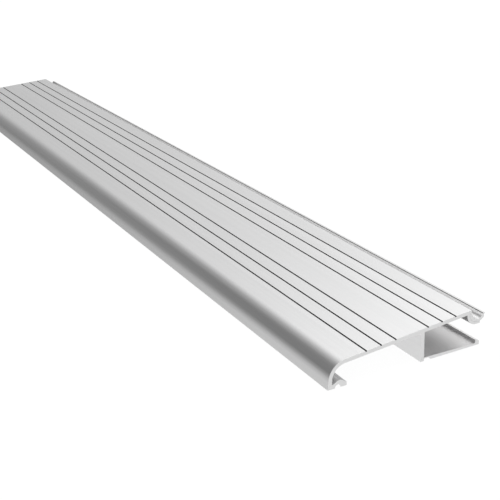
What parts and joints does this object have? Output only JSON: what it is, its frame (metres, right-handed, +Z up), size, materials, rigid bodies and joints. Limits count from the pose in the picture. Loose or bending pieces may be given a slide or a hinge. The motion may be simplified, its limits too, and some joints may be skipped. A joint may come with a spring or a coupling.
{
  "type": "threshold strip",
  "caption": "Sloping fluted aluminium door threshold strip with a bullnose front, supporting leg, hooked-in foot rail and a rear channel rail with an upstanding arm.",
  "frame": {"origin": "centre of the strip's footprint, at the level of the floor it stands on", "axes": "+Y along the strip's length, +X from the bullnose at the front to the rear rail, +Z up; the section is the same all along Y"},
  "size_m": [0.1092, 0.762, 0.0239],
  "materials": {
    "tread_aluminium": "satin mill-finish extrusion with fine die lines along its length",
    "rail_aluminium": "satin mill-finish extrusion with fine die lines along its length"
  },
  "bodies": {
    "root": {"tread_profile": "tread_aluminium", "foot_rail": "rail_aluminium", "rear_rail": "rail_aluminium"}
  },
  "joints": []
}
